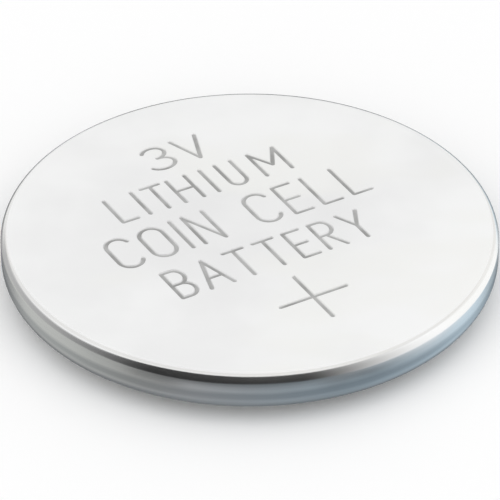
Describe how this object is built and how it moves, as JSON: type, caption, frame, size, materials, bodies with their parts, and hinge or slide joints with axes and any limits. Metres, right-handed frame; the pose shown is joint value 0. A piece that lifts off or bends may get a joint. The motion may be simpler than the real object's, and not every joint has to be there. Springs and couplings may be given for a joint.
{
  "type": "lithium coin cell",
  "caption": "Round lithium coin cell lying on its negative cap, with a satin steel can, a crimped lip over a plastic seal and a flat face at each pole.",
  "frame": {"origin": "centre of the negative cap's flat outer face, on which the cell lies", "axes": "+Z along the cell's axis, from the negative face up to the positive face; +X to the right in the picture"},
  "size_m": [0.016, 0.016, 0.002],
  "materials": {
    "can_steel": "satin nickel-plated stainless steel, faintly rolled",
    "seal_plastic": "natural polypropylene, waxy",
    "cap_steel": "satin stainless steel",
    "lithium": "soft pressed lithium metal, dull silver",
    "separator_cloth": "white non-woven polypropylene",
    "cathode_powder": "pressed manganese dioxide and graphite, matt black",
    "collector_steel": "thin stainless steel grid"
  },
  "bodies": {
    "root": {"positive_can": "can_steel", "gasket": "seal_plastic", "negative_cap": "cap_steel", "lithium_anode": "lithium", "separator": "separator_cloth", "cathode_pellet": "cathode_powder", "cathode_collector": "collector_steel"}
  },
  "joints": []
}
